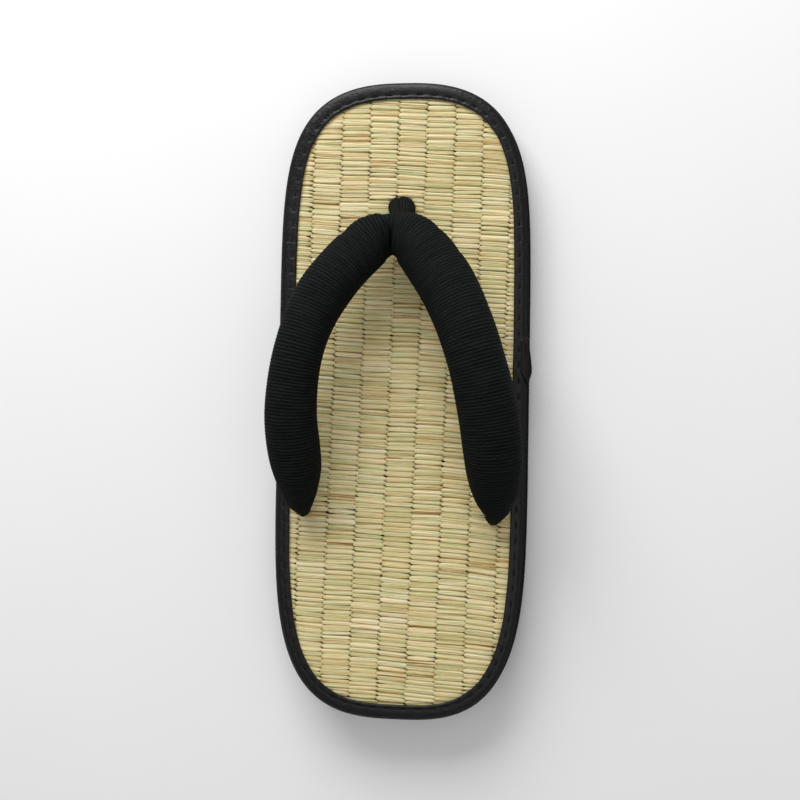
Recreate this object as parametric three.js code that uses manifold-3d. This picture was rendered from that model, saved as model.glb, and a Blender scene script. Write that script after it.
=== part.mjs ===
// A zori: a flat sandal with a rush-covered footbed on a one-piece foam rubber sole. A strip of
// black tape binds the footbed's edge, and two padded straps run back from a short post between
// the toes. The two straps are one sewn tube, bent to a V over the post.
//
// Millimetres. +Y points to the toe and +Z up. The origin is on the ground, under the middle.

import * as THREE from "three";
import Module from "manifold-3d";

const wasm = await Module();
wasm.setup();

// ---------------------------------------------------------------- driving dimensions

const LENGTH = 260;
const WIDTH = 103.6;
const GAP = 0.3; // clearance between two pieces that touch

// The plan is two half ovals, |x / half width| ^ across + |y / half length| ^ along = 1.
const TOE_OVAL = { across: 2.61, along: 6.2 };
const HEEL_OVAL = { across: 2.91, along: 5.1 };
const STATIONS = 48; // steps along one side, from the middle of the heel to the middle of the toe

// Height of the footbed's upper face above the ground.
const BALL_HEIGHT = 16.2;
const HEEL_HEIGHT = 21.8;
const RISE = { from: 55, to: -100 }; // the face climbs between these y
const TOE_SPRING = { from: 78, lift: 3.2 };

// The sole's underside: flat under the heel and the ball, raised in the arch and at both ends.
const ARCH = { from: -42, to: 32, lift: 1.8 };
const TOE_ROLL = { from: 92, lift: 3.6 };
const HEEL_ROLL = { from: -112, lift: 1.2 };

// Layers, as depths below the footbed's upper face.
const TAPE = 0.9; // thickness of the binding tape
const TAPE_PROUD = 0.3; // how far the tape stands above the rush
const TAPE_LAP = 5.8; // how far the tape reaches over and under the board
const BOARD = 6.6; // thickness of the rush-covered board
const TAPE_INSET = 0.5; // the sole's edge shows this far outside the tape

// The tape's two ends lap at the waist, on the inner side of the foot.
const LAP_JOINT = { y: 9, halfLength: 15, bulge: 0.45 };

// Post between the toes, from the bottom of the board up to the straps. Depth is front to back.
const POST_ROWS = [
  { x: -0.7, y: 78.9, height: -BOARD, width: 9.0, depth: 7.4 },
  { x: -0.7, y: 78.9, height: -1.2, width: 10.0, depth: 8.2 },
  { x: -0.6, y: 78.6, height: 1.4, width: 10.9, depth: 9.2 },
  { x: 0.5, y: 75.8, height: 5.2, width: 9.8, depth: 8.8 },
  { x: 1.0, y: 71.6, height: 8.6, width: 9.4, depth: 8.2 },
  { x: 1.2, y: 66.6, height: 11.4, width: 9.0, depth: 7.6 },
];
const POST_SIDES = 20;
const POST_NOTCH = { at: -1.1, depth: 0.24, spread: 1.2 }; // groove between the folded post's two legs

// Cross-sections of the strap tube, from its left tail round the front to its right tail.
// inner and outer are its two edges in plan, height is its middle above the footbed, thick its
// thickness and turn its twist in degrees about its own length, outer edge up.
const STRAP_COLUMNS = ["innerX", "innerY", "outerX", "outerY", "height", "thick", "turn"];
const STRAP_TABLE = [
  [-36.9, -46.6, -40.0, -46.2, -BOARD, 3.2, 0],
  [-36.8, -46.5, -40.1, -46.1, 0.4, 3.8, 4],
  [-36.2, -45.3, -41.0, -44.9, 3.4, 6.0, 12],
  [-34.0, -40.9, -44.3, -40.4, 8.0, 10.4, 16],
  [-31.3, -34.4, -47.3, -34.1, 12.6, 13.8, 12],
  [-29.4, -27.0, -49.4, -27.2, 17.0, 15.8, 6],
  [-29.2, -19.0, -50.6, -19.4, 20.6, 16.8, 2],
  [-29.6, -7.2, -50.8, -7.2, 24.6, 17.0, 0],
  [-29.4, 4.5, -49.6, 6.8, 27.0, 17.0, 0],
  [-27.7, 15.8, -46.9, 20.5, 28.0, 17.0, 0],
  [-24.1, 26.5, -42.8, 33.9, 26.8, 17.0, 0],
  [-19.1, 35.9, -37.2, 46.8, 24.4, 17.0, 0],
  [-12.8, 44.3, -29.2, 58.2, 21.0, 17.0, 0],
  [-7.0, 51.0, -21.9, 65.7, 18.0, 16.6, 0],
  [-4.0, 54.4, -15.7, 70.7, 16.4, 16.0, 0],
  [-3.2, 55.8, -9.2, 73.2, 15.4, 15.2, 0],
  [-2.5, 58.2, -2.6, 73.5, 14.2, 12.6, 0],
  [-1.5, 55.9, 4.1, 73.2, 15.4, 15.2, 0],
  [-0.4, 54.6, 10.8, 70.9, 16.4, 16.0, 0],
  [2.4, 51.4, 16.7, 66.5, 18.0, 16.6, 0],
  [7.6, 43.8, 26.0, 56.1, 21.6, 17.0, 0],
  [12.9, 34.6, 33.1, 44.1, 25.0, 17.4, 0],
  [17.4, 25.2, 38.1, 32.9, 27.2, 17.4, 0],
  [20.9, 15.0, 42.4, 20.8, 28.0, 17.4, 0],
  [23.6, 3.6, 46.3, 8.0, 26.8, 17.6, 0],
  [25.5, -8.4, 49.1, -5.6, 24.2, 17.6, 0],
  [27.1, -20.2, 50.2, -19.0, 20.2, 17.4, 2],
  [28.7, -29.0, 49.5, -28.4, 15.8, 16.2, 6],
  [30.9, -36.8, 47.6, -36.6, 11.4, 13.6, 10],
  [33.6, -42.6, 44.5, -42.9, 7.0, 10.0, 12],
  [35.1, -46.4, 41.7, -46.3, 3.2, 6.2, 8],
  [35.2, -47.9, 40.9, -47.6, 0.4, 4.0, 2],
  [35.4, -48.0, 40.7, -47.7, -BOARD, 3.4, 0],
];
const STRAP_SIDES = 18;

// ---------------------------------------------------------------- the plan and the side view

const smooth = (t) => {
  const u = Math.min(Math.max(t, 0), 1);
  return u * u * (3 - 2 * u);
};

// Height of the footbed's upper face over a point at y.
function topHeight(y) {
  const climb = smooth((RISE.from - y) / (RISE.from - RISE.to));
  const spring = Math.max(0, (y - TOE_SPRING.from) / (LENGTH / 2 - TOE_SPRING.from));
  return BALL_HEIGHT + (HEEL_HEIGHT - BALL_HEIGHT) * climb + TOE_SPRING.lift * spring ** 2;
}

// Height of the sole's lower face over a point at y.
function groundHeight(y) {
  const alongArch = Math.min(Math.max((y - ARCH.from) / (ARCH.to - ARCH.from), 0), 1);
  const toe = Math.max(0, (y - TOE_ROLL.from) / (LENGTH / 2 - TOE_ROLL.from));
  const heel = Math.max(0, (HEEL_ROLL.from - y) / (LENGTH / 2 + HEEL_ROLL.from));
  const arch = ARCH.lift * Math.sin(Math.PI * alongArch) ** 2;
  return arch + TOE_ROLL.lift * toe ** 2 + HEEL_ROLL.lift * heel ** 2;
}

// Distance of the sole's outline from the middle, in the direction of angle (0 is +X).
function outlineRadius(angle) {
  const oval = angle < 0 ? HEEL_OVAL : TOE_OVAL;
  const x = Math.abs(Math.cos(angle)) / (WIDTH / 2);
  const y = Math.abs(Math.sin(angle)) / (LENGTH / 2);
  let inside = 0;
  let outside = LENGTH;
  for (let halving = 0; halving < 50; halving += 1) {
    const radius = (inside + outside) / 2;
    const level = (radius * x) ** oval.across + (radius * y) ** oval.along;
    if (level > 1) outside = radius;
    else inside = radius;
  }
  return inside;
}

// Points of the sole's right side at equal steps, each with its outward direction.
function rightSide() {
  const dense = [];
  const fine = 1600;
  for (let i = 0; i <= fine; i += 1) {
    const angle = Math.PI * (i / fine - 0.5);
    const radius = outlineRadius(angle);
    const point = new THREE.Vector2(Math.cos(angle), Math.sin(angle)).multiplyScalar(radius);
    const before = dense[i - 1];
    dense.push({ point, along: before ? before.along + before.point.distanceTo(point) : 0 });
  }
  const total = dense[fine].along;
  const stations = [];
  let k = 0;
  for (let i = 0; i <= STATIONS; i += 1) {
    const wanted = (total * i) / STATIONS;
    while (k < fine - 1 && dense[k + 1].along < wanted) k += 1;
    const share = (wanted - dense[k].along) / (dense[k + 1].along - dense[k].along);
    const point = dense[k].point.clone().lerp(dense[k + 1].point, share);
    const oval = point.y < 0 ? HEEL_OVAL : TOE_OVAL;
    const across = Math.abs((2 * point.x) / WIDTH) ** (oval.across - 1);
    const along = Math.abs((2 * point.y) / LENGTH) ** (oval.along - 1);
    const out = new THREE.Vector2(
      (oval.across * across) / WIDTH,
      (Math.sign(point.y) * oval.along * along) / LENGTH,
    );
    stations.push({ point, out: out.normalize() });
  }
  stations[0].point.x = 0;
  stations[STATIONS].point.x = 0;
  return stations;
}

// The whole outline, from the middle of the heel up the right side and back down the left.
const right = rightSide();
const left = right
  .slice(1, -1)
  .reverse()
  .map(({ point, out }) => ({
    point: new THREE.Vector2(-point.x, point.y),
    out: new THREE.Vector2(-out.x, out.y),
  }));
const OUTLINE = [...right, ...left];

// A point of the outline moved inwards by inset.
function insetPoint({ point, out }, inset) {
  return point.clone().addScaledVector(out, -inset);
}

// ---------------------------------------------------------------- closed skins

// Triangles between rings of equal count. The ends are closed by strips across each ring, from
// its point i to its point -i, so every ring starts on its line of symmetry. A loop has no ends.
function skin(rings, isLoop = false) {
  const count = rings[0].length;
  const positions = rings.flat().flatMap((p) => [p.x, p.y, p.z]);
  const triangles = [];
  const bands = isLoop ? rings.length : rings.length - 1;
  for (let r = 0; r < bands; r += 1) {
    const a = r * count;
    const b = ((r + 1) % rings.length) * count;
    for (let i = 0; i < count; i += 1) {
      const j = (i + 1) % count;
      triangles.push([a + i, a + j, b + j], [a + i, b + j, b + i]);
    }
  }
  if (!isLoop) {
    const last = (rings.length - 1) * count;
    for (let i = 0; i < count / 2; i += 1) {
      const j = i + 1;
      const acrossI = (count - i) % count;
      const acrossJ = count - j;
      if (j !== acrossJ) {
        triangles.push([acrossJ, j, i], [last + i, last + j, last + acrossJ]);
      }
      if (i !== acrossI) {
        triangles.push([acrossI, acrossJ, i], [last + i, last + acrossJ, last + acrossI]);
      }
    }
  }
  return solidFrom(positions, triangles);
}

// Six times the signed volume under one triangle.
function sixfoldVolume(positions, [a, b, c]) {
  const [pa, pb, pc] = [a, b, c].map((i) => new THREE.Vector3().fromArray(positions, 3 * i));
  return pa.dot(pb.cross(pc));
}

// A solid from loose positions and triangles, turned so that its faces point outwards.
function solidFrom(positions, triangles) {
  const volume = triangles.reduce((sum, t) => sum + sixfoldVolume(positions, t), 0);
  const outward = volume < 0 ? triangles.map(([a, b, c]) => [a, c, b]) : triangles;
  const mesh = new wasm.Mesh({
    numProp: 3,
    vertProperties: new Float32Array(positions),
    triVerts: new Uint32Array(outward.flat()),
  });
  return new wasm.Manifold(mesh);
}

// A slab with the sole's outline. Each row is one ring: its inset and its height at a given y.
function slab(rows) {
  return skin(
    rows.map(({ inset, height }) =>
      OUTLINE.map((station) => {
        const { x, y } = insetPoint(station, inset);
        return new THREE.Vector3(x, y, height(y));
      }),
    ),
  );
}

// ---------------------------------------------------------------- sole, footbed and binding

const below = (depth) => (y) => topHeight(y) - depth;
const above = (height) => (y) => groundHeight(y) + height;

const TAPE_FOOT = BOARD + GAP + TAPE; // depth of the tape's lower face, under the board
const STEP = TAPE_INSET + TAPE_LAP + GAP; // inset where board and sole step clear of the tape

function makeOutsole() {
  const rim = TAPE_FOOT + GAP;
  return slab([
    { inset: 3.2, height: above(0) },
    { inset: 1.3, height: above(0.4) },
    { inset: 0.3, height: above(1.4) },
    { inset: 0, height: above(3) },
    { inset: 0, height: below(rim + 0.8) },
    { inset: 0.7, height: below(rim) },
    { inset: STEP, height: below(rim) },
    { inset: STEP + 0.4, height: below(BOARD + GAP) },
  ]);
}

function makeBoard() {
  const side = TAPE_INSET + TAPE + GAP;
  const pressed = TAPE - TAPE_PROUD + GAP; // the rush is pressed down under the tape
  return slab([
    { inset: side, height: below(BOARD) },
    { inset: side, height: below(pressed + 0.8) },
    { inset: side + 0.8, height: below(pressed) },
    { inset: STEP, height: below(pressed) },
    { inset: STEP + 0.5, height: below(0) },
  ]);
}

// Outward bulge of the tape at y, on the inner side of the foot, where its ends lap.
function lapBulge({ point }) {
  const distance = Math.abs(point.y - LAP_JOINT.y) / LAP_JOINT.halfLength;
  return point.x > 0 && distance < 1 ? LAP_JOINT.bulge * smooth(1 - distance) : 0;
}

// The tape's section is a C round the board's edge, as insets and depths, starting on top.
function makeBinding() {
  const inner = TAPE_INSET + TAPE_LAP;
  const wall = TAPE_INSET + TAPE;
  const underTop = TAPE - TAPE_PROUD;
  const section = [
    { inset: inner, depth: -TAPE_PROUD },
    { inset: TAPE_INSET + 1.3, depth: -TAPE_PROUD },
    { inset: TAPE_INSET + 0.3, depth: 0.2, bulge: 1 },
    { inset: TAPE_INSET, depth: 1.3, bulge: 1 },
    { inset: TAPE_INSET, depth: TAPE_FOOT - 0.5, bulge: 1 },
    { inset: TAPE_INSET + 0.5, depth: TAPE_FOOT },
    { inset: inner, depth: TAPE_FOOT },
    { inset: inner, depth: TAPE_FOOT - TAPE },
    { inset: wall, depth: TAPE_FOOT - TAPE },
    { inset: wall, depth: underTop + 0.8 },
    { inset: wall + 0.8, depth: underTop },
    { inset: inner, depth: underTop },
  ];
  const rings = OUTLINE.map((station) =>
    section.map(({ inset, depth, bulge = 0 }) => {
      const { x, y } = insetPoint(station, inset - bulge * lapBulge(station));
      return new THREE.Vector3(x, y, topHeight(y) - depth);
    }),
  );
  return skin(rings, true);
}

// ---------------------------------------------------------------- straps and post

const strapRows = STRAP_TABLE.map((row) =>
  Object.fromEntries(STRAP_COLUMNS.map((name, i) => [name, row[i]])),
);

// Middle of a strap section. Its height is taken from the footbed below it.
function strapMiddle({ innerX, innerY, outerX, outerY, height }) {
  const y = (innerY + outerY) / 2;
  return new THREE.Vector3((innerX + outerX) / 2, y, topHeight(y) + height);
}

// The strap tube: an oval at each row, square to the line through the rows' middles.
function strapTube(grow) {
  const middles = strapRows.map(strapMiddle);
  const rings = strapRows.map((row, i) => {
    const before = middles[Math.max(i - 1, 0)];
    const after = middles[Math.min(i + 1, middles.length - 1)];
    const forward = after.clone().sub(before).normalize();
    const across = new THREE.Vector3(row.outerX - row.innerX, row.outerY - row.innerY, 0);
    const halfWidth = across.length() / 2 + grow;
    across.addScaledVector(forward, -across.dot(forward)).normalize();
    const side = middles[i].x < 0 ? 1 : -1;
    across.applyAxisAngle(forward, THREE.MathUtils.degToRad(side * row.turn));
    const up = forward.clone().cross(across);
    return Array.from({ length: STRAP_SIDES }, (_, k) => {
      const angle = (2 * Math.PI * k) / STRAP_SIDES;
      return middles[i]
        .clone()
        .addScaledVector(across, halfWidth * Math.cos(angle))
        .addScaledVector(up, (row.thick / 2 + grow) * Math.sin(angle));
    });
  });
  return skin(rings);
}

// The post: an oval with a notch in its front at each row, square to the line through the rows.
function postTube(grow) {
  const middles = POST_ROWS.map(({ x, y, height }) => new THREE.Vector3(x, y, topHeight(y) + height));
  const rings = POST_ROWS.map((row, i) => {
    const before = middles[Math.max(i - 1, 0)];
    const after = middles[Math.min(i + 1, middles.length - 1)];
    const upward = after.clone().sub(before).normalize();
    const across = new THREE.Vector3(1, 0, 0);
    across.addScaledVector(upward, -across.dot(upward)).normalize();
    const front = upward.clone().cross(across);
    return Array.from({ length: POST_SIDES }, (_, k) => {
      const angle = (2 * Math.PI * k) / POST_SIDES;
      const sideways = (row.width / 2 + grow) * Math.cos(angle);
      const offNotch = (sideways - POST_NOTCH.at) / POST_NOTCH.spread;
      const notch = 1 - POST_NOTCH.depth * Math.exp(-(offNotch ** 2));
      const reach = (row.depth / 2 + grow) * Math.sin(angle);
      return middles[i]
        .clone()
        .addScaledVector(across, sideways)
        .addScaledVector(front, reach > 0 ? reach * notch : reach);
    });
  });
  return skin(rings);
}

// ---------------------------------------------------------------- the sandal

const straps = strapTube(0);
const post = postTube(0).subtract(strapTube(GAP));
const footbed = makeBoard().subtract(strapTube(GAP)).subtract(postTube(GAP));

const FINISHES = {
  outsole: { color: 0x1b1b1c, roughness: 0.75 },
  footbed: { color: 0xccbc90, roughness: 0.7 },
  edge_binding: { color: 0x2b2b2e, roughness: 0.42 },
  straps: { color: 0x121413, roughness: 0.85 },
  toe_post: { color: 0x222422, roughness: 0.9 },
};

function nodeMesh(name, solid) {
  const { numProp, numVert, vertProperties, triVerts } = solid.getMesh();
  const corners = new Float32Array(numVert * 3);
  for (let i = 0; i < numVert; i += 1) {
    corners.set(vertProperties.subarray(i * numProp, i * numProp + 3), i * 3);
  }
  const geometry = new THREE.BufferGeometry();
  geometry.setAttribute("position", new THREE.BufferAttribute(corners, 3));
  geometry.setIndex(new THREE.BufferAttribute(triVerts, 1));
  const { color, roughness } = FINISHES[name];
  const material = new THREE.MeshStandardMaterial({ color, roughness, metalness: 0 });
  const mesh = new THREE.Mesh(geometry, material);
  mesh.name = name;
  return mesh;
}

const zori = new THREE.Group();
zori.add(
  nodeMesh("outsole", makeOutsole()),
  nodeMesh("footbed", footbed),
  nodeMesh("edge_binding", makeBinding()),
  nodeMesh("straps", straps),
  nodeMesh("toe_post", post),
);

export default zori;
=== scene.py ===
import math
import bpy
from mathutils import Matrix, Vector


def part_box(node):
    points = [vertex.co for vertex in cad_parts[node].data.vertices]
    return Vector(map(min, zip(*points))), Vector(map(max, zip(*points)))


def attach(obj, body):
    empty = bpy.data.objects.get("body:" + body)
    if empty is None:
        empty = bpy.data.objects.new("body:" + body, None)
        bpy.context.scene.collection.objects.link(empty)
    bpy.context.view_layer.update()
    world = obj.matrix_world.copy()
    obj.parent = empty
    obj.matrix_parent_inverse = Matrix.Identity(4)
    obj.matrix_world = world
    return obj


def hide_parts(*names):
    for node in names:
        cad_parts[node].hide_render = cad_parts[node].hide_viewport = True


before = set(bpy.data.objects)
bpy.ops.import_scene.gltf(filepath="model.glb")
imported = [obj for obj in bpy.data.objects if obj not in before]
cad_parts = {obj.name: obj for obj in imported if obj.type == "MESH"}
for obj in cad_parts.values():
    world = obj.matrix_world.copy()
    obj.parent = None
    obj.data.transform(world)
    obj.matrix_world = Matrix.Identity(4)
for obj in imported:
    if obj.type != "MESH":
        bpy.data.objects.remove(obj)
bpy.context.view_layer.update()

from types import SimpleNamespace

import bmesh
import bpy
import numpy as np
from mathutils import Matrix, Vector

# A zori sandal: woven rush on a bound board, padded ribbed straps on a short toe post, foam sole.
# Shapes are worked out in millimetres, +Y to the toe and +Z up, and become metres in the mesh.

bl_info = {
    "name": "Zori Sandal",
    "version": (1, 0, 0),
    "blender": (4, 5, 0),
    "location": "View3D > Sidebar > Zori",
    "description": "Builds a rush-covered zori sandal with padded straps round its packed frame",
    "category": "Add Mesh",
}

MM = 0.001
BODY = "root"


# ---------------------------------------------------------------- sizes from the frame

def node_box(name):
    """Lowest and highest corners of a frame node, in millimetres."""
    low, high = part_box(name)
    return np.array(low) / MM, np.array(high) / MM


SOLE_LOW, SOLE_HIGH = node_box("outsole")
BOARD_HIGH = node_box("footbed")[1]
HALF_WIDTH = float(SOLE_HIGH[0] - SOLE_LOW[0]) / 2
HALF_LENGTH = float(SOLE_HIGH[1] - SOLE_LOW[1]) / 2
HEEL_TOP = float(BOARD_HIGH[2])

# Exponents of the plan's two half ovals: across, along.
TOE_OVAL = (2.61, 6.2)
HEEL_OVAL = (2.91, 5.1)

# The footbed's upper face: height at the ball, where it climbs to the heel, the toe's spring.
BALL_TOP = 16.2
CLIMB_FROM, CLIMB_TO = 55.0, -100.0
SPRING_FROM, SPRING_LIFT = 78.0, 3.2

# The sole's lower face: arch, toe and heel roll.
ARCH_FROM, ARCH_TO, ARCH_LIFT = -42.0, 32.0, 1.8
TOE_ROLL_FROM, TOE_ROLL_LIFT = 92.0, 3.6
HEEL_ROLL_FROM, HEEL_ROLL_LIFT = -112.0, 1.2

# Layers below the footbed's upper face.
BOARD_DEPTH = 6.6
RIM_DEPTH = 8.1


# ---------------------------------------------------------------- settings a user may change

def length_setting(name, description, default, least=-1000.0):
    """A length in millimetres."""
    return bpy.props.FloatProperty(
        name=name, description=description + ", in mm", default=default, min=least)


def turn_setting(name, description, degrees):
    """An angle."""
    return bpy.props.FloatProperty(
        name=name, description=description, default=math.radians(degrees), subtype="ANGLE",
        unit="ROTATION")


def colour_setting(name, description, default):
    """A colour as it shows on a display."""
    return bpy.props.FloatVectorProperty(
        name=name, description=description, subtype="COLOR_GAMMA", default=default, min=0, max=1)


class ZoriSizes(bpy.types.PropertyGroup):
    column_pitch: length_setting("Rush column", "Width of one column of the rush weave", 11.6, 6)
    row_pitch: length_setting("Rush row", "Length of one row of the rush weave", 2.0, 1)
    grain_turn: turn_setting("Weave turn", "How far the mat was laid off the sole's axis", 1.3)
    stitch_pitch: length_setting("Stitch", "Length of one stitch in the binding", 6.4, 2)
    rib_pitch: length_setting("Rib", "Distance between the ribs of the strap cloth", 1.2, 0.6)
    rib_height: length_setting("Rib height", "Height of the ribs of the strap cloth", 0.2, 0)


class ZoriColours(bpy.types.PropertyGroup):
    rush_pale: colour_setting("Pale rush", "Colour of the palest stalks", (0.905, 0.87, 0.66))
    rush_green: colour_setting("Green rush", "Colour of the greener stalks", (0.795, 0.775, 0.54))
    rush_tan: colour_setting("Tan rush", "Colour of the browner stalks", (0.79, 0.655, 0.41))
    tape: colour_setting("Binding", "Colour of the binding tape", (0.03, 0.03, 0.034))
    strap: colour_setting("Strap", "Colour of the strap cloth", (0.0185, 0.0208, 0.0200))
    post: colour_setting("Post", "Colour of the toe post's cloth", (0.048, 0.055, 0.051))
    sole: colour_setting("Sole", "Colour of the foam rubber", (0.036, 0.036, 0.038))


class ZoriStage(bpy.types.PropertyGroup):
    eye_side: length_setting("Eye, sideways", "Camera's place to the right of the sole's middle", 56.5)
    eye_along: length_setting("Eye, along", "Camera's place towards the toe from the middle", -2.0)
    eye_height: length_setting("Eye height", "Camera's height above the ground", 493.0, 100)
    roll: turn_setting("Roll", "How far the toe leans to the right in the picture", 0.83)
    frame_width: length_setting("Frame", "Width of what the picture takes in at the footbed", 325.0, 50)


# ---------------------------------------------------------------- shape helpers

def smooth(t):
    """Smooth step: 3t^2 - 2t^3 with t held between 0 and 1."""
    t = np.clip(t, 0.0, 1.0)
    return t * t * (3 - 2 * t)


def unit(vectors):
    """Each vector divided by its length."""
    return vectors / np.maximum(np.linalg.norm(vectors, axis=-1, keepdims=True), 1e-12)


def distances(points):
    """How far along the line through the points each point lies."""
    return np.r_[0, np.cumsum(np.linalg.norm(np.diff(points, axis=0), axis=1))]


def top_height(y):
    """Height of the footbed's upper face: a smooth step to the heel plus a parabola at the toe."""
    climb = smooth((CLIMB_FROM - y) / (CLIMB_FROM - CLIMB_TO))
    spring = np.maximum(0, (y - SPRING_FROM) / (HALF_LENGTH - SPRING_FROM))
    return BALL_TOP + (HEEL_TOP - BALL_TOP) * climb + SPRING_LIFT * spring**2


def ground_height(y):
    """Height of the sole's lower face: sine squared in the arch, parabolas at toe and heel."""
    along = np.clip((y - ARCH_FROM) / (ARCH_TO - ARCH_FROM), 0, 1)
    toe = np.maximum(0, (y - TOE_ROLL_FROM) / (HALF_LENGTH - TOE_ROLL_FROM))
    heel = np.maximum(0, (HEEL_ROLL_FROM - y) / (HALF_LENGTH + HEEL_ROLL_FROM))
    return ARCH_LIFT * np.sin(np.pi * along) ** 2 + TOE_ROLL_LIFT * toe**2 + HEEL_ROLL_LIFT * heel**2


def oval_exponents(y):
    """Exponents of the plan at y: the heel's below the middle and the toe's above."""
    return [np.where(y < 0, heel, toe) for heel, toe in zip(HEEL_OVAL, TOE_OVAL)]


def half_outline(steps):
    """Right side of the sole's plan at equal steps from heel to toe, and its outward normals.
    The plan is |x/a|^m + |y/b|^n = 1, solved for the radius at each polar angle by halving."""
    angle = np.linspace(-np.pi / 2, np.pi / 2, 4001)
    m, n = oval_exponents(angle)
    low, high = np.zeros_like(angle), np.full_like(angle, 2 * HALF_LENGTH)
    for _ in range(50):
        radius = (low + high) / 2
        level = (np.abs(radius * np.cos(angle) / HALF_WIDTH) ** m
                 + np.abs(radius * np.sin(angle) / HALF_LENGTH) ** n)
        low, high = np.where(level > 1, low, radius), np.where(level > 1, radius, high)
    dense = np.stack([low * np.cos(angle), low * np.sin(angle)], 1)
    along = distances(dense)
    wanted = np.linspace(0, along[-1], steps + 1)
    points = np.stack([np.interp(wanted, along, dense[:, k]) for k in (0, 1)], 1)
    points[[0, -1], 0] = 0
    m, n = oval_exponents(points[:, 1])
    out = np.stack([
        m / HALF_WIDTH * np.abs(points[:, 0] / HALF_WIDTH) ** (m - 1),
        n / HALF_LENGTH * np.sign(points[:, 1]) * np.abs(points[:, 1] / HALF_LENGTH) ** (n - 1)], 1)
    return points, unit(out), along[-1]


def whole_outline(steps):
    """The closed plan, from the heel's middle up the right side and back down the left."""
    points, out, length = half_outline(steps)
    mirror = np.array([-1, 1])
    return np.r_[points, points[-2:0:-1] * mirror], np.r_[out, out[-2:0:-1] * mirror], 2 * length


def inset_ring(points, out, inset, base, lift):
    """The outline moved inwards by inset, and lift over the height that base gives for its y."""
    moved = points - inset * out
    return np.c_[moved, base(moved[:, 1]) + lift]


def across_plan(edge, steps):
    """A grid from the left edge to the right one: its x, its y and its shares of the way across."""
    share = np.linspace(-1, 1, steps)
    return edge[:, :1] * share, np.repeat(edge[:, 1:], steps, 1), share


def rows_spline(known, values, wanted):
    """Smooth curve through table rows: cubic Hermite pieces with central slopes."""
    slopes = np.gradient(values, known, axis=0)
    i = np.clip(np.searchsorted(known, wanted, side="right") - 1, 0, len(known) - 2)
    step = (known[i + 1] - known[i])[:, None]
    t = ((wanted - known[i])[:, None]) / step
    return ((2 * t**3 - 3 * t**2 + 1) * values[i] + (t**3 - 2 * t**2 + t) * step * slopes[i]
            + (3 * t**2 - 2 * t**3) * values[i + 1] + (t**3 - t**2) * step * slopes[i + 1])


def ripple(seed, *coordinates, terms=5):
    """Soft unevenness between -1 and 1: a few sines with seeded directions and phases."""
    rng = np.random.default_rng(seed)
    total = 0
    for _ in range(terms):
        turn = sum(c * rng.uniform(0.4, 1.6) * rng.choice((-1, 1)) for c in coordinates)
        total = total + np.sin(turn + rng.uniform(0, 2 * np.pi))
    return total / terms


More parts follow.
